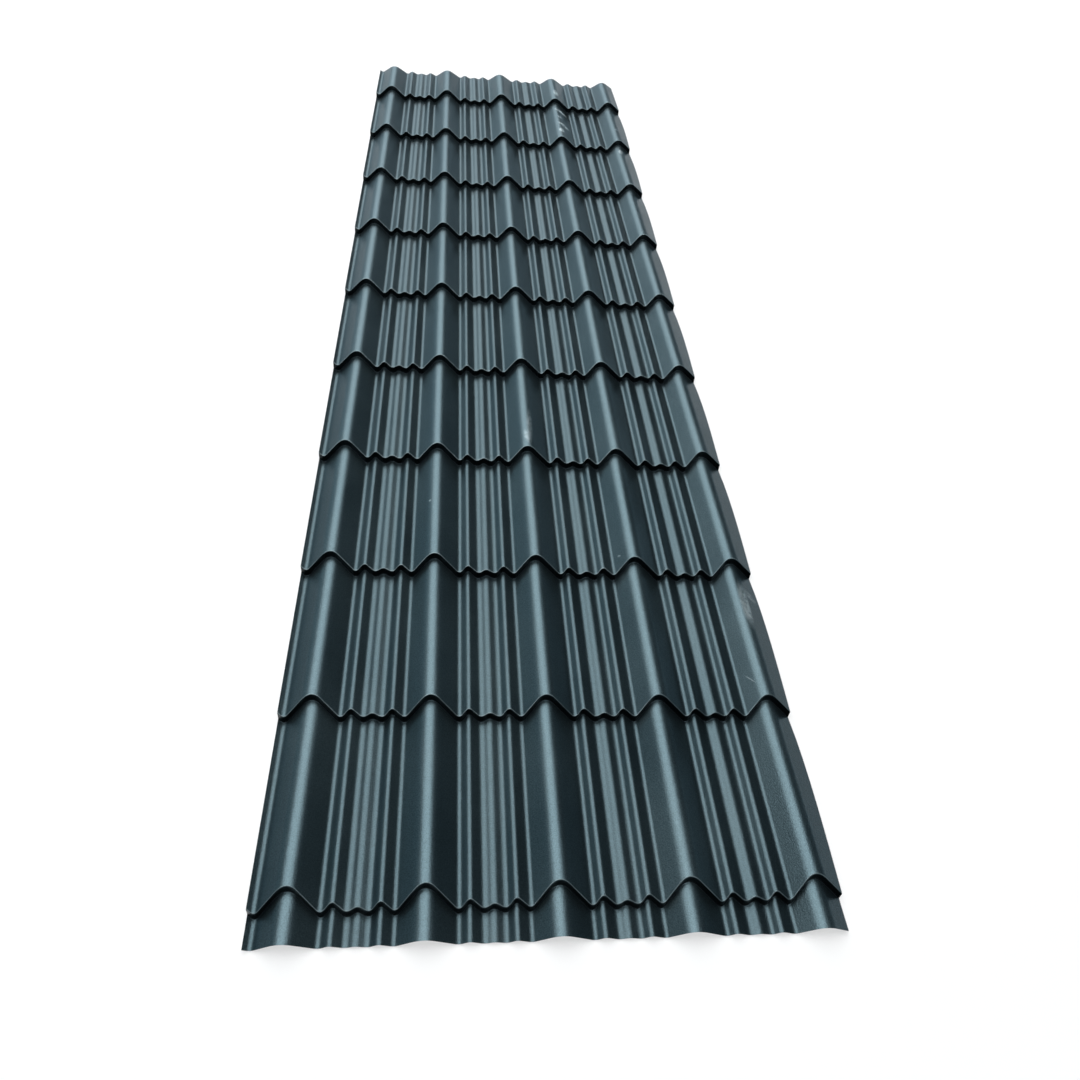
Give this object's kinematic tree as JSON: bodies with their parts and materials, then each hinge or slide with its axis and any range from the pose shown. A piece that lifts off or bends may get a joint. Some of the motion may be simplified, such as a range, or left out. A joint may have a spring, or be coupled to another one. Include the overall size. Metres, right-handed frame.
{
  "type": "tile-profile roofing sheet",
  "caption": "Long pressed steel roofing sheet with rounded ridges, low ribs in its troughs and wavy tile-like steps across it, painted dark slate.",
  "frame": {"origin": "middle of the sheet in plan, at the level of the floor it lies on", "axes": "+Y up the roof slope along the sheet's length, with the eave edge at -Y; +X across the ridges; +Z out of the painted face"},
  "size_m": [0.9316, 3.265, 0.0377],
  "materials": {
    "painted_sheet": "matt textured slate paint over zinc-coated steel"
  },
  "bodies": {
    "root": {"roofing_sheet": "painted_sheet"}
  },
  "joints": []
}
